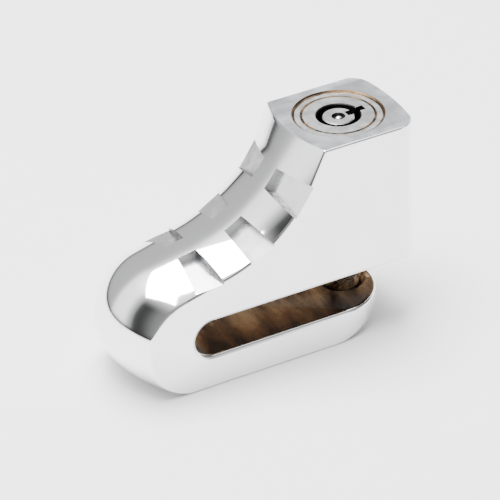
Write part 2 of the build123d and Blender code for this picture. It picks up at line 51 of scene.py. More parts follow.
# ======== the casting ========
# The lock's body is one zinc casting in the shape of a boot, ground flat on its sides, polished on the
# instep and toe and chromed all over. Its blank is drawn out across the lock layer by layer with rounded
# edges, and is then slotted, bored and notched.

def deselect():
    """Clear the selection, so that the next operator works on its own piece alone."""
    if bpy.context.object and bpy.context.object.mode != "OBJECT":
        bpy.ops.object.mode_set(mode="OBJECT")
    bpy.ops.object.select_all(action="DESELECT")


def drawn_block(name, outline, travel, layers=1):
    """A flat outline, closed and drawn out along travel in equal layers. Each point remembers its station."""
    deselect()
    bpy.ops.mesh.primitive_circle_add(vertices=len(outline), radius=1.0, fill_type="NGON")
    block = bpy.context.object
    block.name = name
    bpy.ops.object.mode_set(mode="EDIT")
    blank = bmesh.from_edit_mesh(block.data)
    station = blank.verts.layers.int.new("station")
    blank.verts.ensure_lookup_table()
    for index, point in enumerate(outline):
        blank.verts[index].co = Vector(point)
        blank.verts[index][station] = index
    bmesh.update_edit_mesh(block.data)
    bpy.ops.mesh.select_all(action="SELECT")
    step = tuple(Vector(travel) / layers)
    for _ in range(layers):
        bpy.ops.mesh.extrude_region_move(TRANSFORM_OT_translate={"value": step})
    bpy.ops.mesh.select_all(action="SELECT")
    bpy.ops.mesh.normals_make_consistent(inside=False)
    bpy.ops.object.mode_set(mode="OBJECT")
    block.location = (0, 0, 0)
    return block


def layered_block(name, count, places, moved):
    """A closed outline of count points, repeated at every place. moved() says where each point goes."""
    ring = [(math.cos(math.tau * k / count), math.sin(math.tau * k / count), 0) for k in range(count)]
    block = drawn_block(name, ring, (0, 0, len(places) - 1), len(places) - 1)
    station = block.data.attributes["station"].data
    for vertex in block.data.vertices:
        vertex.co = moved(station[vertex.index].value, places[round(vertex.co.z)])
    block.data.attributes.remove(block.data.attributes["station"])
    bpy.ops.object.mode_set(mode="EDIT")
    bpy.ops.mesh.select_all(action="SELECT")
    bpy.ops.mesh.normals_make_consistent(inside=False)
    bpy.ops.object.mode_set(mode="OBJECT")
    return block


def outward_ways(line):
    """Mitred outward directions of a closed outline at each of its points."""
    count = len(line)
    turning = sum(line[k].cross(line[(k + 1) % count]) for k in range(count))
    ways = []
    for k in range(count):
        before = (line[k] - line[k - 1]).normalized()
        after = (line[(k + 1) % count] - line[k]).normalized()
        first, second = Vector((before.y, -before.x)), Vector((after.y, -after.x))
        mitre = (first + second).normalized()
        ways.append(mitre / max(mitre.dot(first), 0.4) * math.copysign(1, turning))
    return ways


def rounding(step, radius):
    """How far a rounded edge has drawn back at a step between its start, 0, and its end, 1."""
    return radius * (1 - math.sqrt(max(1 - step * step, 0)))


def share(place, start, end):
    """How far a place is from start to end, kept between 0 and 1."""
    return min(max((place - start) / (end - start), 0), 1)


def round_block(name, x, y, low, high, radius, sides=128):
    """An upright round bar, used as the cutter of a bore."""
    deselect()
    bpy.ops.mesh.primitive_cylinder_add(vertices=sides, radius=radius, depth=high - low,
                                        location=(x, y, (low + high) / 2))
    bar = bpy.context.object
    bar.name = name
    bpy.ops.object.transform_apply(location=True, rotation=True, scale=True)
    return bar


def turned(name, profile, steps=160):
    """A closed profile in radius and height, turned about the lock's axis as on a lathe."""
    deselect()
    bpy.ops.mesh.primitive_circle_add(vertices=len(profile), radius=1.0, fill_type="NOTHING")
    piece = bpy.context.object
    piece.name = name
    bpy.ops.object.mode_set(mode="EDIT")
    ring = bmesh.from_edit_mesh(piece.data)
    ring.verts.ensure_lookup_table()
    for index, (radius, level) in enumerate(profile):
        ring.verts[index].co = (radius * MM, 0, level * MM)
    bmesh.update_edit_mesh(piece.data)
    bpy.ops.mesh.select_all(action="SELECT")
    bpy.ops.mesh.spin(steps=steps, angle=math.tau, center=(0, 0, 0), axis=(0, 0, 1))
    bpy.ops.mesh.select_all(action="SELECT")
    bpy.ops.mesh.remove_doubles(threshold=0.002 * MM)
    bpy.ops.mesh.dissolve_degenerate(threshold=0.002 * MM)
    bpy.ops.mesh.normals_make_consistent(inside=False)
    bpy.ops.object.mode_set(mode="OBJECT")
    piece.location = (0, 0, 0)
    return piece


def cut_away(piece, cutter):
    """Take the cutter's shape out of the piece."""
    deselect()
    bpy.context.view_layer.objects.active = piece
    piece.select_set(True)
    tool = piece.modifiers.new("cut", "BOOLEAN")
    tool.operation = "DIFFERENCE"
    tool.solver = "EXACT"
    tool.object = cutter
    bpy.ops.object.modifier_apply(modifier=tool.name)
    bpy.data.objects.remove(cutter, do_unlink=True)


low_corner, high_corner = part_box("lock_body")
HALF = (high_corner.y - low_corner.y) / 2
HEIGHT = high_corner.z
EDGE_R = 0.4 * MM
EDGE_STEPS = 5
HEEL_X = high_corner.x
HEEL_BOW = 1.4 * MM
HEEL_CORNER = 4.0 * MM
HEEL_FOOT = 4.0 * MM
SLOT_FLOOR = 7.8 * MM
SLOT_ROOF = 16.4 * MM
SLOT_END = -42.6 * MM
JAW_END = 6.8 * MM
JAW_FOOT = 5.5 * MM
JAW_TUCK = 4.2 * MM
BACK = HEEL_X + 8 * MM
OVER = 4 * MM
# the outline on the side faces and the one of the crown's crest, in millimetres and degrees
SIDE = dict(front=-10.4, instep=64.7, saddle=32.0, vamp=14.4, toe=11.9, toe_x=-41.9)
CREST = dict(front=-12.7, instep=59.0, saddle=33.0, vamp=11.0, toe=13.7, toe_x=-44.8)
# each pair of notches: its angle round the saddle, and its lengths at the side face and at the ridge
NOTCHES = ((34.5, 7.7, 5.0), (59.5, 6.3, 4.8), (83.7, 6.6, 4.4))
NOTCH_DEPTH = 0.5 * MM
NOTCH_RISE = 1.7 * MM
RIDGE = 4.7 * MM


def arc(centre, radius, start, end, count):
    """Points of an arc in the X-Z plane, its angles in degrees, without the last point."""
    turns = (math.radians(start + (end - start) * k / count) for k in range(count))
    return [centre + Vector((math.cos(t), math.sin(t))) * radius for t in turns]


def boot_side(front, instep, saddle, vamp, toe, toe_x):
    """Side outline of the boot: sole, heel, plateau, instep, saddle, vamp and toe. Also the saddle's axis."""
    up = Vector((math.cos(math.radians(instep)), math.sin(math.radians(instep))))
    along = Vector((math.cos(math.radians(vamp)), math.sin(math.radians(vamp))))
    saddle, toe, plateau = saddle * MM, toe * MM, Vector((front * MM, HEIGHT))
    toe_centre = Vector((toe_x * MM, toe - 0.25 * MM))
    toe_top = toe_centre + Vector((-along.y, along.x)) * toe
    gap = plateau - toe_top
    crossing = toe_top + along * (gap.cross(up) / along.cross(up))
    half_turn = math.radians(instep - vamp) / 2
    bisector = math.radians(instep + vamp + 180) / 2
    axis = crossing + Vector((math.cos(bisector), math.sin(bisector))) * (saddle / math.cos(half_turn))
    saddle_top = crossing + up * saddle * math.tan(half_turn)
    saddle_foot = crossing - along * saddle * math.tan(half_turn)
    points = [Vector((toe_centre.x, 0)), Vector((HEEL_X, 0))]
    points += arc(Vector((HEEL_X - EDGE_R, HEIGHT - EDGE_R)), EDGE_R, 0, 90, EDGE_STEPS)
    points.append(Vector((HEEL_X - EDGE_R, HEIGHT)))
    set_back = EDGE_R * math.tan(math.radians(instep) / 2)
    brow = plateau + Vector((set_back, -EDGE_R))
    points += arc(brow, EDGE_R, 90, 90 + instep, EDGE_STEPS)
    points += [(plateau - up * set_back).lerp(saddle_top, k / 10) for k in range(10)]
    points += arc(axis, saddle, instep - 90, vamp - 90, 60)
    points += [saddle_foot.lerp(toe_top, k / 14) for k in range(14)]
    points += arc(toe_centre, toe, vamp + 90, 270, 70)
    return [Vector((p.x, max(p.y, 0))) for p in points], axis


side_line, saddle_axis = boot_side(**SIDE)
crest_line, _ = boot_side(**CREST)
side_ways = outward_ways(side_line)
# the heel's bow and the arcs of its upright corners, seen from above
bow_x = HEEL_X - HEEL_BOW / 2
bow_side = HALF - HEEL_CORNER
bow_r = (bow_side ** 2 + (HEEL_BOW / 2) ** 2) / HEEL_BOW
corner_x = HEEL_X - HEEL_BOW - HEEL_CORNER
corner_r = ((bow_x - corner_x) ** 2 + HEEL_CORNER ** 2) / (2 * HEEL_CORNER)
RIM_STEPS = 6
HALF_STEPS = 36
rim_places = [-HALF + EDGE_R * (1 - math.cos(math.pi / 2 * k / RIM_STEPS)) for k in range(RIM_STEPS)]
blank_places = rim_places + [(HALF - EDGE_R) * (k / HALF_STEPS - 1) for k in range(2 * HALF_STEPS + 1)]
blank_places += [-place for place in reversed(rim_places)]


def heel_at(place):
    """Where the bowed heel and its upright corners stand, seen from above."""
    if abs(place) < bow_side:
        return HEEL_X - bow_r + math.sqrt(bow_r ** 2 - place ** 2)
    return corner_x + math.sqrt(max(corner_r ** 2 - (abs(place) - HALF + corner_r) ** 2, 0))


def blank_point(index, place):
    """The crown: a layer stands between the side outline and the crest by the square of its place."""
    crown = 1 - (place / HALF) ** 2
    point = side_line[index].lerp(crest_line[index], crown)
    if point.x > HEEL_X - 2 * EDGE_R:
        point.x += heel_at(place) - HEEL_X
    point = point - side_ways[index] * rounding(share(abs(place), HALF - EDGE_R, HALF), EDGE_R)
    return point.x, place, point.y


casting = layered_block("casting", len(side_line), blank_places, blank_point)

# the slot, with the rounding under the heel
slot_r = (SLOT_ROOF - SLOT_FLOOR) / 2
slot_middle = Vector((SLOT_END + slot_r, (SLOT_ROOF + SLOT_FLOOR) / 2))
heel_foot = Vector((HEEL_X - HEEL_FOOT, SLOT_ROOF + HEEL_FOOT))
slot_line = [Vector((BACK + OVER, SLOT_FLOOR)), Vector((BACK + OVER, heel_foot.y))]
slot_line += arc(heel_foot, HEEL_FOOT, 0, -90, 16)
slot_line += [Vector((heel_foot.x, SLOT_ROOF))]
slot_line += arc(slot_middle, slot_r, 90, 270, 40)
slot_line += [Vector((slot_middle.x, SLOT_FLOOR))]
SLOT_LIP = 0.8 * MM
LIP_STEPS = 6
slot_ways = outward_ways(slot_line)
lip_places = [-HALF - OVER] + [-HALF + SLOT_LIP * k / LIP_STEPS for k in range(LIP_STEPS + 1)]
lip_places += [-place for place in reversed(lip_places)]


def slot_point(index, place):
    """The slot opens out at both side faces over its rounded lips."""
    shift = rounding(share(abs(place), HALF - SLOT_LIP, HALF), SLOT_LIP)
    point = slot_line[index] + slot_ways[index] * shift
    return point.x, place, point.y


cut_away(casting, layered_block("slot", len(slot_line), lip_places, slot_point))

# the full round of the lower jaw's end, tucked in towards the sole
jaw_x = JAW_END - HALF
jaw_line = [Vector((jaw_x, -HALF - OVER)), Vector((BACK + OVER, -HALF - OVER)),
            Vector((BACK + OVER, HALF + OVER)), Vector((jaw_x, HALF + OVER))]
jaw_line += arc(Vector((jaw_x, 0)), HALF, 90, -90, 72) + [Vector((jaw_x, -HALF))]
jaw_ways = outward_ways(jaw_line)


def jaw_point(index, place):
    """The jaw's end, tucked in at the sole and rounded over into the slot's floor."""
    tuck = rounding(1 - share(place, 0, JAW_FOOT), JAW_TUCK)
    lip = rounding(share(place, SLOT_FLOOR - SLOT_LIP, SLOT_FLOOR), SLOT_LIP)
    point = jaw_line[index] + jaw_ways[index] * lip
    return point.x - tuck, point.y, place


FOOT_STEPS = 20
jaw_places = [-OVER] + [JAW_FOOT * (k / FOOT_STEPS) ** 1.5 for k in range(FOOT_STEPS + 1)]
jaw_places += [SLOT_FLOOR - SLOT_LIP + SLOT_LIP * k / LIP_STEPS for k in range(LIP_STEPS + 1)]
jaw_places.append(slot_middle.y)
cut_away(casting, layered_block("jaw", len(jaw_line), jaw_places, jaw_point))

# the plunger's bore, the bolt's hole and socket, the latch pockets and the limit pin's hole
_, sleeve_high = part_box("plunger_sleeve")
pin_low, pin_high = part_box("limit_pin")
latch_low, latch_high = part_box("latch")
BORE_R = 9.8 * MM
BORE_RIM = 0.3
BORE_FLOOR = 19.4
BOLT_HOLE_R = 4.05
SOCKET_R = 4.3
SOCKET_FOOT = 3.6
SOCKET_RIM = 1.1
TRAVEL = next(j for j in frame["joints"] if j["name"] == "plunger_slide")["range_m"][1]
bore_r, top, floor_z, above = BORE_R / MM, HEIGHT / MM, SLOT_FLOOR / MM, (HEIGHT + OVER) / MM
cut_away(casting, turned("bore", [
    (0, 12), (BOLT_HOLE_R, 12), (BOLT_HOLE_R, BORE_FLOOR), (bore_r, BORE_FLOOR), (bore_r, top - BORE_RIM),
    (bore_r + BORE_RIM, top), (bore_r + BORE_RIM, above), (0, above)]))
cut_away(casting, turned("socket", [
    (0, SOCKET_FOOT), (SOCKET_R, SOCKET_FOOT), (SOCKET_R, floor_z - SOCKET_RIM),
    (SOCKET_R + SOCKET_RIM, floor_z), (SOCKET_R + SOCKET_RIM, 9), (0, 9)], 96))
pin_r, pin_z = pin_high.x, (pin_low.z + pin_high.z) / 2
pin_turns = [math.tau * k / 48 for k in range(48)]
pin_round = [(pin_r * math.cos(t), sleeve_high.y / 2, pin_z + pin_r * math.sin(t)) for t in pin_turns]
cut_away(casting, drawn_block("pin_hole", pin_round, (0, HALF, 0)))

# the latch has a pocket for the plunger down and one for it up
POCKET_NEAR, POCKET_FAR = -6 * MM, -11.8 * MM
POCKET_SLACK = 0.3 * MM
POCKET_DROP = 0.05 * MM
pocket_half = latch_high.y + POCKET_SLACK
for lift in (0, TRAVEL):
    base = latch_low.z + lift - POCKET_DROP - POCKET_SLACK
    pocket = [(POCKET_FAR, -pocket_half, base), (POCKET_NEAR, -pocket_half, base),
              (POCKET_NEAR, pocket_half, base), (POCKET_FAR, pocket_half, base)]
    cut_away(casting, drawn_block("pocket", pocket, (0, 0, latch_high.z - latch_low.z + 2 * POCKET_SLACK)))

# the notches: a tilted flat floor each, open to the side face
for angle, side_length, ridge_length in NOTCHES:
    turn = math.radians(angle)
    outward = Vector((-math.cos(turn), 0, math.sin(turn)))
    downhill = Vector((-math.sin(turn), 0, -math.cos(turn)))
    reach = SIDE["saddle"] * MM + NOTCH_DEPTH
    foot = Vector((saddle_axis.x, 0, saddle_axis.y)) - outward * reach
    inner = HALF - RIDGE / 2
    tilt = math.atan2(NOTCH_RISE, inner)
    for side in (-1, 1):
        normal = outward * math.cos(tilt) + Vector((0, side * math.sin(tilt), 0))
        inward = Vector((0, -side * math.cos(tilt), 0)) + outward * math.sin(tilt)
        start = foot + Vector((0, side * HALF, 0))
        length = inner / math.cos(tilt)
        flare = (side_length - ridge_length) / 2 * MM / length
        wide, narrow = side_length / 2 * MM + flare * OVER, ridge_length / 2 * MM
        trapezium = [start - inward * OVER - downhill * wide, start + inward * length - downhill * narrow,
                     start + inward * length + downhill * narrow, start - inward * OVER + downhill * wide]
        cut_away(casting, drawn_block("notch", trapezium, normal * 3 * OVER))

# smooth over the crown and the rounded edges, flat on the ground faces
deselect()
bpy.context.view_layer.objects.active = casting
casting.select_set(True)
bpy.ops.object.mode_set(mode="EDIT")
bpy.ops.mesh.select_all(action="SELECT")
bpy.ops.mesh.remove_doubles(threshold=0.004 * MM)
bpy.ops.mesh.normals_make_consistent(inside=False)
bpy.ops.object.mode_set(mode="OBJECT")
bpy.ops.object.shade_smooth_by_angle(angle=math.radians(32))
even = casting.modifiers.new("even_normals", "WEIGHTED_NORMAL")
even.keep_sharp = True
even.weight = 90
bpy.ops.object.modifier_apply(modifier=even.name)
GROUND_FACE = 5 * MM ** 2
for face in casting.data.polygons:
    if max(abs(face.normal.y), abs(face.normal.z)) > 0.9999 and face.area > GROUND_FACE:
        face.use_smooth = False


def metal(name, colour, rough, metallic=1.0):
    """A node material with one metal shader, to which each finish adds its own marks."""
    finish = bpy.data.materials.new(name)
    finish.use_nodes = True
    nodes = finish.node_tree.nodes
    shader = nodes["Principled BSDF"]
    shader.inputs["Base Color"].default_value = (*colour, 1)
    shader.inputs["Metallic"].default_value = metallic
    shader.inputs["Roughness"].default_value = rough
    return finish, nodes, finish.node_tree.links, shader


def add_noise(nodes, links, scale, detail=3, stretch=(1, 1, 1)):
    """Noise in the object's own coordinates, stretched along one way where the metal was brushed."""
    place = nodes.new("ShaderNodeTexCoord")
    turn = nodes.new("ShaderNodeMapping")
    turn.inputs["Scale"].default_value = stretch
    noise = nodes.new("ShaderNodeTexNoise")
    noise.inputs["Scale"].default_value = scale
    noise.inputs["Detail"].default_value = detail
    links.new(place.outputs["Object"], turn.inputs["Vector"])
    links.new(turn.outputs["Vector"], noise.inputs["Vector"])
    return noise


def spread(nodes, links, source, low, high):
    """Map a noise from its usual span to the values wanted."""
    span = nodes.new("ShaderNodeMapRange")
    span.inputs["From Min"].default_value = 0.3
    span.inputs["From Max"].default_value = 0.7
    span.inputs["To Min"].default_value = low
    span.inputs["To Max"].default_value = high
    links.new(source, span.inputs["Value"])
    return span.outputs["Result"]


def surface_bump(nodes, links, shader, height, depth):
    """Fine unevenness of the surface, its depth in metres."""
    bump = nodes.new("ShaderNodeBump")
    bump.inputs["Strength"].default_value = 1.0
    bump.inputs["Distance"].default_value = depth
    links.new(height, bump.inputs["Height"])
    links.new(bump.outputs["Normal"], shader.inputs["Normal"])


def uneven_gloss(nodes, links, shader, scale, low, high, detail=4, stretch=(1, 1, 1)):
    """Gloss that changes over the surface, as where it was handled. Returns the noise it comes from."""
    cloud = add_noise(nodes, links, scale, detail, stretch)
    links.new(spread(nodes, links, cloud.outputs["Fac"], low, high), shader.inputs["Roughness"])
    return cloud.outputs["Fac"]


def tinted(nodes, links, source, shader, stops):
    """The shader's colour along a value, given as places with a colour each."""
    tint = nodes.new("ShaderNodeValToRGB")
    first, *middle, last = stops
    for element, (position, colour) in zip(tint.color_ramp.elements, (first, last)):
        element.position = position
        element.color = (*colour, 1)
    for position, colour in middle:
        tint.color_ramp.elements.new(position).color = (*colour, 1)
    links.new(source, tint.inputs["Fac"])
    links.new(tint.outputs["Color"], shader.inputs["Base Color"])


bright_chrome, nodes, links, shader = metal("bright_chrome", (0.9, 0.905, 0.92), 0.05)
uneven_gloss(nodes, links, shader, 90, 0.03, 0.09)
ripple = add_noise(nodes, links, 110, 1)
surface_bump(nodes, links, shader, ripple.outputs["Fac"], 0.00006)

satin_chrome, nodes, links, shader = metal("satin_chrome", (0.87, 0.872, 0.875), 0.3)
uneven_gloss(nodes, links, shader, 60, 0.26, 0.36)
grain = add_noise(nodes, links, 2500, 2)
surface_bump(nodes, links, shader, grain.outputs["Fac"], 0.000004)

plateau_chrome, nodes, links, shader = metal("plateau_chrome", (0.64, 0.66, 0.7), 0.28)
surface_bump(nodes, links, shader, uneven_gloss(nodes, links, shader, 180, 0.2, 0.36), 0.00001)

notch_chrome, nodes, links, shader = metal("notch_chrome", (0.86, 0.865, 0.875), 0.25)
surface_bump(nodes, links, shader, uneven_gloss(nodes, links, shader, 300, 0.2, 0.34), 0.00001)

# inside the slot the plating is thin and stained, in bands across the lock; towards the side faces it is
# darkened further with painted shade
slot_chrome, nodes, links, shader = metal("slot_chrome", (0.3, 0.22, 0.15), 0.35)
stain = add_noise(nodes, links, 220, 5, (1, 0.25, 1))
fine = add_noise(nodes, links, 3000, 2)
place = nodes.new("ShaderNodeTexCoord")
split = nodes.new("ShaderNodeSeparateXYZ")
links.new(place.outputs["Object"], split.inputs["Vector"])
# painted shade: the slot's colour darkens from its middle towards the side faces
aside = nodes.new("ShaderNodeMath")
aside.operation = "ABSOLUTE"
links.new(split.outputs["Y"], aside.inputs[0])
shade = nodes.new("ShaderNodeMapRange")
shade.inputs["From Min"].default_value = 0.3 * HALF
shade.inputs["From Max"].default_value = HALF
shade.inputs["To Min"].default_value = 0.06
shade.inputs["To Max"].default_value = -0.3
links.new(aside.outputs["Value"], shade.inputs["Value"])
mixed = nodes.new("ShaderNodeMath")
mixed.operation = "ADD"
links.new(stain.outputs["Fac"], mixed.inputs[0])
links.new(shade.outputs["Result"], mixed.inputs[1])
speckle = nodes.new("ShaderNodeMath")
speckle.operation = "MULTIPLY_ADD"
speckle.inputs[1].default_value = 0.25
links.new(fine.outputs["Fac"], speckle.inputs[0])
links.new(mixed.outputs["Value"], speckle.inputs[2])
tinted(nodes, links, speckle.outputs["Value"], shader,
       [(0.34, (0.02, 0.011, 0.006)), (0.58, (0.13, 0.075, 0.035)), (0.85, (0.42, 0.29, 0.16))])

# round the socket a patchy copper colour is painted in for the orange and dark glints on the socket's rim
copper_glint_rim, nodes, links, shader = metal("copper_glint_rim", (0.6, 0.33, 0.14), 0.3)
copper_glint_patches = add_noise(nodes, links, 600, 4)
tinted(nodes, links, copper_glint_patches.outputs["Fac"], shader, [(0.38, (0.16, 0.09, 0.04)), (0.66, (0.8, 0.52, 0.28))])

# the notches' steep walls are coloured dark and patchy: painted shade that outlines the notches
notch_wall_shade, nodes, links, shader = metal("notch_wall_shade", (0.2, 0.2, 0.21), 0.3)
cloud = add_noise(nodes, links, 700, 4)
tinted(nodes, links, cloud.outputs["Fac"], shader, [(0.35, (0.03, 0.03, 0.032)), (0.7, (0.3, 0.3, 0.31))])

notch_floors = []
for angle, _, _ in NOTCHES:
    turn, tilt = math.radians(angle), math.atan2(NOTCH_RISE, HALF - RIDGE / 2)
    for side in (-1, 1):
        notch_floors.append(Vector((-math.cos(turn) * math.cos(tilt), side * math.sin(tilt),
                                    math.sin(turn) * math.cos(tilt))))
NEAR = 0.1 * MM
NOTCH_FACE = 3 * MM ** 2


def finish_at(place, way, area):
    """The finish of one face of the casting, by its place, its direction and its size."""
    around = math.hypot(place.x, place.y)
    # painted glints: the socket's rim takes the copper tint
    if 4.2 * MM < around < 5.6 * MM and 6.5 * MM < place.z < SLOT_FLOOR + NEAR and way.z > 0.1:
        return copper_glint_rim
    # painted shade: the bore's chamfered rim takes the slot's dark colour, as a dark ring round the sleeve
    if around < BORE_R + 0.35 * MM and place.z > HEIGHT - 0.32 * MM and way.z < 0.9:
        return slot_chrome
    if area > NOTCH_FACE and any((way - floor_way).length < 0.02 for floor_way in notch_floors):
        return notch_chrome
    from_axis = Vector((saddle_axis.x - place.x, 0, saddle_axis.y - place.z))
    in_saddle = (from_axis.length < 34.5 * MM and abs(place.y) < HALF - NEAR
                 and -44 * MM < place.x < -12 * MM and 23 * MM < place.z < HEIGHT - 3 * MM)
    # painted shade: the notches' steep walls take their dark colour
    if in_saddle and abs(way.y) < 0.985 and way.dot(from_axis.normalized()) < 0.6:
        return notch_wall_shade
    in_slot = (SLOT_FLOOR - NEAR < place.z < SLOT_ROOF + NEAR and place.x > SLOT_END - NEAR
               and abs(place.y) < HALF - 1.1 * SLOT_LIP)
    over_jaw = place.x < jaw_x or math.hypot(place.x - jaw_x, place.y) < HALF - 0.4 * MM
    if in_slot and over_jaw:
        return slot_chrome
    if abs(way.y) > 0.9:
        return satin_chrome
    if way.z > 0.95 and place.z > HEIGHT - 0.5 * MM:
        return plateau_chrome
    return bright_chrome


finishes = [bright_chrome, satin_chrome, plateau_chrome, notch_chrome, slot_chrome, copper_glint_rim, notch_wall_shade]
for finish in finishes:
    casting.data.materials.append(finish)
for face in casting.data.polygons:
    face.material_index = finishes.index(finish_at(face.center, face.normal, face.area))
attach(casting, "housing")
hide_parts("lock_body")


# ======== the plunger's sleeve ========
# A turned steel sleeve, satin nickel plated, that slides in the casting's bore and carries the lock. The
# groove down its far side is for the limit pin, and the window low on the toe side is for the latch.

def box_cutter(name, low, high):
    """A straight cutter between two corners, in millimetres."""
    corners = [(low[0], low[1]), (high[0], low[1]), (high[0], high[1]), (low[0], high[1])]
    outline = [(x * MM, y * MM, low[2] * MM) for x, y in corners]
    return drawn_block(name, outline, (0, 0, (high[2] - low[2]) * MM))


def finish_piece(piece, material, bodyname, node, angle=30):
    """Smooth a new piece, give it its finish and tie it to the CAD model."""
    deselect()
    piece.select_set(True)
    bpy.context.view_layer.objects.active = piece
    bpy.ops.object.shade_smooth_by_angle(angle=math.radians(angle))
    piece.data.materials.append(material)
    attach(piece, bodyname)
    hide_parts(node)


face_z = sleeve_high.z / MM
sleeve_r = sleeve_high.x / MM
CORE_R = 8.0
CORE_SEAT = 31.5
SLEEVE_FOOT = 23.5
FACE_CHAMFER = 0.3
GROOVE_R = 1.3
GROOVE_TOP, GROOVE_FOOT = 43.45, 29.9
sleeve = turned("sleeve", [
    (sleeve_r, SLEEVE_FOOT), (sleeve_r, face_z - FACE_CHAMFER), (sleeve_r - FACE_CHAMFER, face_z),
    (CORE_R + FACE_CHAMFER, face_z), (CORE_R, face_z - FACE_CHAMFER), (CORE_R, CORE_SEAT), (4.2, CORE_SEAT),
    (4.2, 27.1), (3.6, 27.1), (2.0, 25.5), (2.0, 24.5), (4.0, 24.5), (4.0, SLEEVE_FOOT), (6.2, SLEEVE_FOOT),
    (6.2, 26.6), (8.4, 26.6), (8.4, SLEEVE_FOOT)])
cut_away(sleeve, box_cutter("latch_window", (-10.5, -2.5, 27.1), (-3.5, 2.5, 31.1)))
half_turn = [math.pi * k / 24 for k in range(25)]
groove = [(GROOVE_R * math.cos(t), GROOVE_TOP + GROOVE_R * math.sin(t)) for t in half_turn]
groove += [(-GROOVE_R * math.cos(t), GROOVE_FOOT - GROOVE_R * math.sin(t)) for t in half_turn]
cut_away(sleeve, drawn_block("groove", [(x * MM, 8.5 * MM, z * MM) for x, z in groove], (0, 3 * MM, 0)))

satin_nickel, nodes, links, shader = metal("satin_nickel", (0.7, 0.705, 0.71), 0.26)
uneven_gloss(nodes, links, shader, 400, 0.2, 0.34)
place = nodes.new("ShaderNodeTexCoord")
rings = nodes.new("ShaderNodeTexWave")
rings.wave_type = "RINGS"
rings.rings_direction = "Z"
rings.inputs["Scale"].default_value = 900
rings.inputs["Distortion"].default_value = 2.0
links.new(place.outputs["Object"], rings.inputs["Vector"])
surface_bump(nodes, links, shader, rings.outputs["Fac"], 0.000006)
finish_piece(sleeve, satin_nickel, "plunger", "plunger_sleeve")

# painted shade: the chamfers that meet in the rings of the key face are near black with brown patches, so
# that the joints look dark
joint_shade, nodes, links, shader = metal("joint_shade", (0.05, 0.035, 0.025), 0.45, 0.6)
joint_shade_patches = add_noise(nodes, links, 500, 4)
tinted(nodes, links, joint_shade_patches.outputs["Fac"], shader, [(0.4, (0.015, 0.012, 0.01)), (0.75, (0.3, 0.19, 0.1))])

# painted shade: the keyway's walls and the post below its end are near black, as deep shade in the keyway
keyway_shade, nodes, links, shader = metal("keyway_shade", (0.02, 0.02, 0.02), 0.4, 0.8)
uneven_gloss(nodes, links, shader, 900, 0.3, 0.55, 3)


def shade_faces(piece, finish, chosen):
    """Give another finish to the faces that chosen(radius, height, normal) picks, in millimetres; used to
    paint shade.
    """
    piece.data.materials.append(finish)
    for face in piece.data.polygons:
        if chosen(math.hypot(face.center.x, face.center.y) / MM, face.center.z / MM, face.normal):
            face.material_index = len(piece.data.materials) - 1


# painted shade in the sleeve's chamfers, at the bore and at the joint with the barrel
shade_faces(sleeve, joint_shade, lambda r, z, way: z > face_z - 0.31 and way.z < 0.9)


# ======== the barrel ========
# The turned front of the round-key cylinder, pressed into the sleeve and pinned. Its bore leaves the
# annular keyway open round the post, with a notch towards the heel for the key's tooth.
KEYWAY_R = 4.8
KEYWAY_RIM = 0.2
KEYWAY_DEPTH = 4
barrel = turned("barrel", [
    (CORE_R, CORE_SEAT), (CORE_R, face_z - FACE_CHAMFER), (CORE_R - FACE_CHAMFER, face_z),
    (KEYWAY_R + KEYWAY_RIM, face_z), (KEYWAY_R, face_z - KEYWAY_RIM), (KEYWAY_R, face_z - KEYWAY_DEPTH),
    (6.5, face_z - KEYWAY_DEPTH), (6.5, CORE_SEAT)])
cut_away(barrel, box_cutter("key_notch", (1.0, -0.9, face_z - 4.5), (6.3, 0.9, face_z + 1)))
finish_piece(barrel, satin_nickel, "plunger", "core_barrel")
# painted shade: the barrel's outer chamfer is darkened at its joint with the sleeve, and the keyway inside is
# painted near black
shade_faces(barrel, joint_shade, lambda r, z, way: r > 7.6 and z > face_z - 0.31 and way.z < 0.9)
shade_faces(barrel, keyway_shade, lambda r, z, way: r < 7 and z < face_z - 0.1)


# ======== the spindle ========
# The post that the key turns, in one piece with the flange that holds the key pins and the tail that
# works the cam. The post has a notch for the key and a dished end for the hardened ball.
post_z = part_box("spindle")[1].z / MM
POST_R = 3.5
FLANGE_R = 6.45
FLANGE_TOP, FLANGE_FOOT = 45.05, 39.1
TAIL_R, TAIL_FOOT = 1.2, 28.1
spindle = turned("spindle", [
    (0, post_z - 1.85), (0.92, post_z - 1.85), (0.92, post_z - 0.7), (1.45, post_z - 0.7), (1.5, post_z),
    (POST_R - 0.15, post_z), (POST_R, post_z - 0.15), (POST_R, FLANGE_TOP), (FLANGE_R, FLANGE_TOP),
    (FLANGE_R, FLANGE_FOOT), (2.0, FLANGE_FOOT), (2.0, 31.4), (TAIL_R, 31.4), (TAIL_R, TAIL_FOOT),
    (0, TAIL_FOOT)], 128)
cut_away(spindle, box_cutter("post_notch", (2.0, -0.9, FLANGE_TOP), (5.0, 0.9, post_z + 1)))
KEY_PINS = 7
PIN_CIRCLE_R = 4.15 * MM
PIN_HOLE_R = 0.62 * MM
for k in range(1, KEY_PINS + 1):
    turn = math.tau * k / (KEY_PINS + 1)
    pin_x, pin_y = PIN_CIRCLE_R * math.cos(turn), PIN_CIRCLE_R * math.sin(turn)
    cut_away(spindle, round_block("key_pin_hole", pin_x, pin_y, 38 * MM, 45.5 * MM, PIN_HOLE_R, 32))
deselect()
bpy.ops.mesh.primitive_cube_add(size=1, location=(0, 0, 30.4 * MM), scale=(2.6 * MM, 2.6 * MM, 2.0 * MM))
bpy.ops.object.transform_apply(location=True, rotation=True, scale=True)
spindle.select_set(True)
bpy.context.view_layer.objects.active = spindle
bpy.ops.object.join()
finish_piece(spindle, satin_nickel, "key_spindle", "spindle")
# painted shade: the spindle below its end is near black, as deep shade in the keyway
shade_faces(spindle, keyway_shade, lambda r, z, way: z < post_z - 0.16)


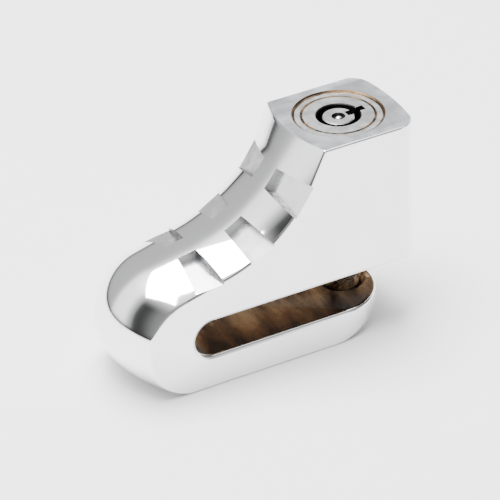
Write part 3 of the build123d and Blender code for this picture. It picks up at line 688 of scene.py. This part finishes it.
# ======== the bolt ========
# A round bolt of hardened steel, ground bright, that crosses the slot through a hole of the brake disc.
# A countersunk screw from inside holds it to the sleeve's floor.
BOLT_R = 4.0
BOLT_TIP, BOLT_TOP = 4.4, 24.5
bolt = turned("bolt_bar", [
    (0, BOLT_TIP), (2.9, BOLT_TIP), (3.05, 4.45), (3.95, 5.35), (BOLT_R, 5.5), (BOLT_R, BOLT_TOP),
    (2.0, BOLT_TOP), (2.0, 15.5), (0, 15.5)], 96)
hard_steel, nodes, links, shader = metal("hard_steel", (0.55, 0.55, 0.57), 0.22)
scratch = uneven_gloss(nodes, links, shader, 900, 0.16, 0.3, 3, (1, 1, 12))
surface_bump(nodes, links, shader, scratch, 0.000008)
finish_piece(bolt, hard_steel, "plunger", "bolt")


# ======== the small parts ========
# Pins, springs, cam, latch and screws keep their modelled shapes. Only the limit pin's end, the ball in
# the post and the key pins' ends can be seen; the rest show when the lock is taken apart.
brass, nodes, links, shader = metal("brass", (0.75, 0.5, 0.2), 0.25)
uneven_gloss(nodes, links, shader, 1200, 0.18, 0.38, 3)

spring_wire, nodes, links, shader = metal("spring_wire", (0.42, 0.42, 0.44), 0.28)
uneven_gloss(nodes, links, shader, 1500, 0.2, 0.4, 3)

zinc_plate, nodes, links, shader = metal("zinc_plate", (0.7, 0.71, 0.72), 0.3)
surface_bump(nodes, links, shader, uneven_gloss(nodes, links, shader, 700, 0.22, 0.42), 0.00001)

polished_ball, nodes, links, shader = metal("polished_ball", (0.9, 0.9, 0.9), 0.08)
uneven_gloss(nodes, links, shader, 900, 0.04, 0.12, 3)

SMALL_PARTS = {
    "limit_pin": zinc_plate, "barrel_pin": zinc_plate, "bushing_pin": zinc_plate, "bolt_screw": zinc_plate,
    "cam": zinc_plate, "cam_clip": zinc_plate, "latch": hard_steel, "anti_drill_ball": polished_ball,
    "return_spring": spring_wire, "latch_spring": spring_wire, "tumbler_bushing": brass,
}
for k in range(1, KEY_PINS + 1):
    SMALL_PARTS.update({f"key_pin_{k}": brass, f"driver_pin_{k}": brass, f"driver_spring_{k}": spring_wire})
for node, finish in SMALL_PARTS.items():
    for part_slot in frame["nodes"][node].material_slots:
        part_slot.material = finish


# ======== the studio ========
# A plain pale floor inside a white tent. The tent is open on the camera's side, where the room is dark,
# and a dark strip stands low behind the toe, so that the chrome has something to mirror.
deselect()
bpy.ops.mesh.primitive_plane_add(size=6.0, location=(0, 0, 0))
floor = bpy.context.object
floor.name = "floor"
paper = bpy.data.materials.new("paper")
paper.use_nodes = True
nodes, links = paper.node_tree.nodes, paper.node_tree.links
fibre = add_noise(nodes, links, 40, 3)
shader = nodes["Principled BSDF"]
tinted(nodes, links, fibre.outputs["Fac"], shader, [(0.0, (0.9, 0.9, 0.9)), (1.0, (0.93, 0.93, 0.93))])
shader.inputs["Roughness"].default_value = 0.9
floor.data.materials.append(paper)

world = bpy.data.worlds.new("studio")
bpy.context.scene.world = world
world.use_nodes = True
nodes, links = world.node_tree.nodes, world.node_tree.links
place = nodes.new("ShaderNodeTexCoord")
split = nodes.new("ShaderNodeSeparateXYZ")
links.new(place.outputs["Generated"], split.inputs["Vector"])


def tone_ramp(source, low, high, stops):
    """Grey tones along a value of the direction, from low to high."""
    span = nodes.new("ShaderNodeMapRange")
    span.inputs["From Min"].default_value = low
    span.inputs["From Max"].default_value = high
    links.new(source, span.inputs["Value"])
    ramp = nodes.new("ShaderNodeValToRGB")
    ramp.color_ramp.interpolation = "B_SPLINE"
    ramp.color_ramp.elements[0].position, tone = stops[0]
    ramp.color_ramp.elements[0].color = (tone, tone, tone, 1)
    ramp.color_ramp.elements[1].position, tone = stops[-1]
    ramp.color_ramp.elements[1].color = (tone, tone, tone, 1)
    for position, tone in stops[1:-1]:
        ramp.color_ramp.elements.new(position).color = (tone, tone, tone, 1)
    links.new(span.outputs["Result"], ramp.inputs["Fac"])
    return ramp.outputs["Color"]


def laid_over(first, second, way):
    """Two tones multiplied or added, as way says."""
    mix = nodes.new("ShaderNodeMix")
    mix.data_type = "RGBA"
    mix.blend_type = way
    mix.inputs["Factor"].default_value = 1.0
    links.new(first, mix.inputs["A"])
    links.new(second, mix.inputs["B"])
    return mix.outputs["Result"]


across = tone_ramp(split.outputs["Y"], -1, 1, [
    (0.0, 0.2), (0.3, 0.12), (0.38, 0.01), (0.47, 0.01), (0.5, 0.15), (0.55, 0.42), (0.6, 1.0), (0.66, 1.0),
    (0.78, 1.0), (0.83, 0.32), (0.9, 0.3), (1.0, 0.3)])
height = tone_ramp(split.outputs["Z"], 0, 1, [(0.0, 0.05), (0.03, 0.1), (0.07, 0.8), (0.2, 0.95), (1.0, 1.0)])
roof = tone_ramp(split.outputs["Z"], 0.7, 1, [(0.0, 0.0), (0.4, 0.1), (0.8, 0.7), (1.0, 0.8)])
sky = laid_over(laid_over(across, height, "MULTIPLY"), roof, "ADD")
links.new(sky, nodes["Background"].inputs["Color"])
nodes["Background"].inputs["Strength"].default_value = 2.4


def soft_box(name, place, aim, size, power):
    """A large area light that looks at aim."""
    light = bpy.data.lights.new(name, "AREA")
    light.shape = "RECTANGLE"
    light.size, light.size_y = size
    light.energy = power
    lamp = bpy.data.objects.new(name, light)
    bpy.context.scene.collection.objects.link(lamp)
    way = Vector(aim) - Vector(place)
    lamp.matrix_world = Matrix.Translation(place) @ way.to_track_quat("-Z", "Y").to_matrix().to_4x4()


soft_box("top_light", (-0.1, 0.12, 0.9), (0, 0, 0.02), (0.9, 0.5), 30)

# The camera stands to the toe's right, above it, with a long lens.
VIEW_AZ, VIEW_EL, VIEW_ROLL = math.radians(-28.02), math.radians(32.14), math.radians(-1.9)
DISTANCE = 0.721
MIDDLE = Vector((-20.6, 0, 24.72)) * MM
SHIFT_RIGHT, SHIFT_UP = -1.545 * MM, -2.5 * MM
back = Vector((math.sin(VIEW_AZ) * math.cos(VIEW_EL), -math.cos(VIEW_AZ) * math.cos(VIEW_EL),
               math.sin(VIEW_EL)))
right = Vector((math.cos(VIEW_AZ), math.sin(VIEW_AZ), 0))
up = back.cross(right)
right, up = (right * math.cos(VIEW_ROLL) + up * math.sin(VIEW_ROLL),
             up * math.cos(VIEW_ROLL) - right * math.sin(VIEW_ROLL))
eye = MIDDLE + back * DISTANCE + right * SHIFT_RIGHT + up * SHIFT_UP
view = Matrix((right, up, back)).transposed().to_4x4()
view.translation = eye
camera_data = bpy.data.cameras.new("camera")
camera_data.lens = 241.5
camera_data.sensor_width = 36
camera_data.clip_start = 0.01
camera = bpy.data.objects.new("camera", camera_data)
bpy.context.scene.collection.objects.link(camera)
camera.matrix_world = view
bpy.context.scene.camera = camera
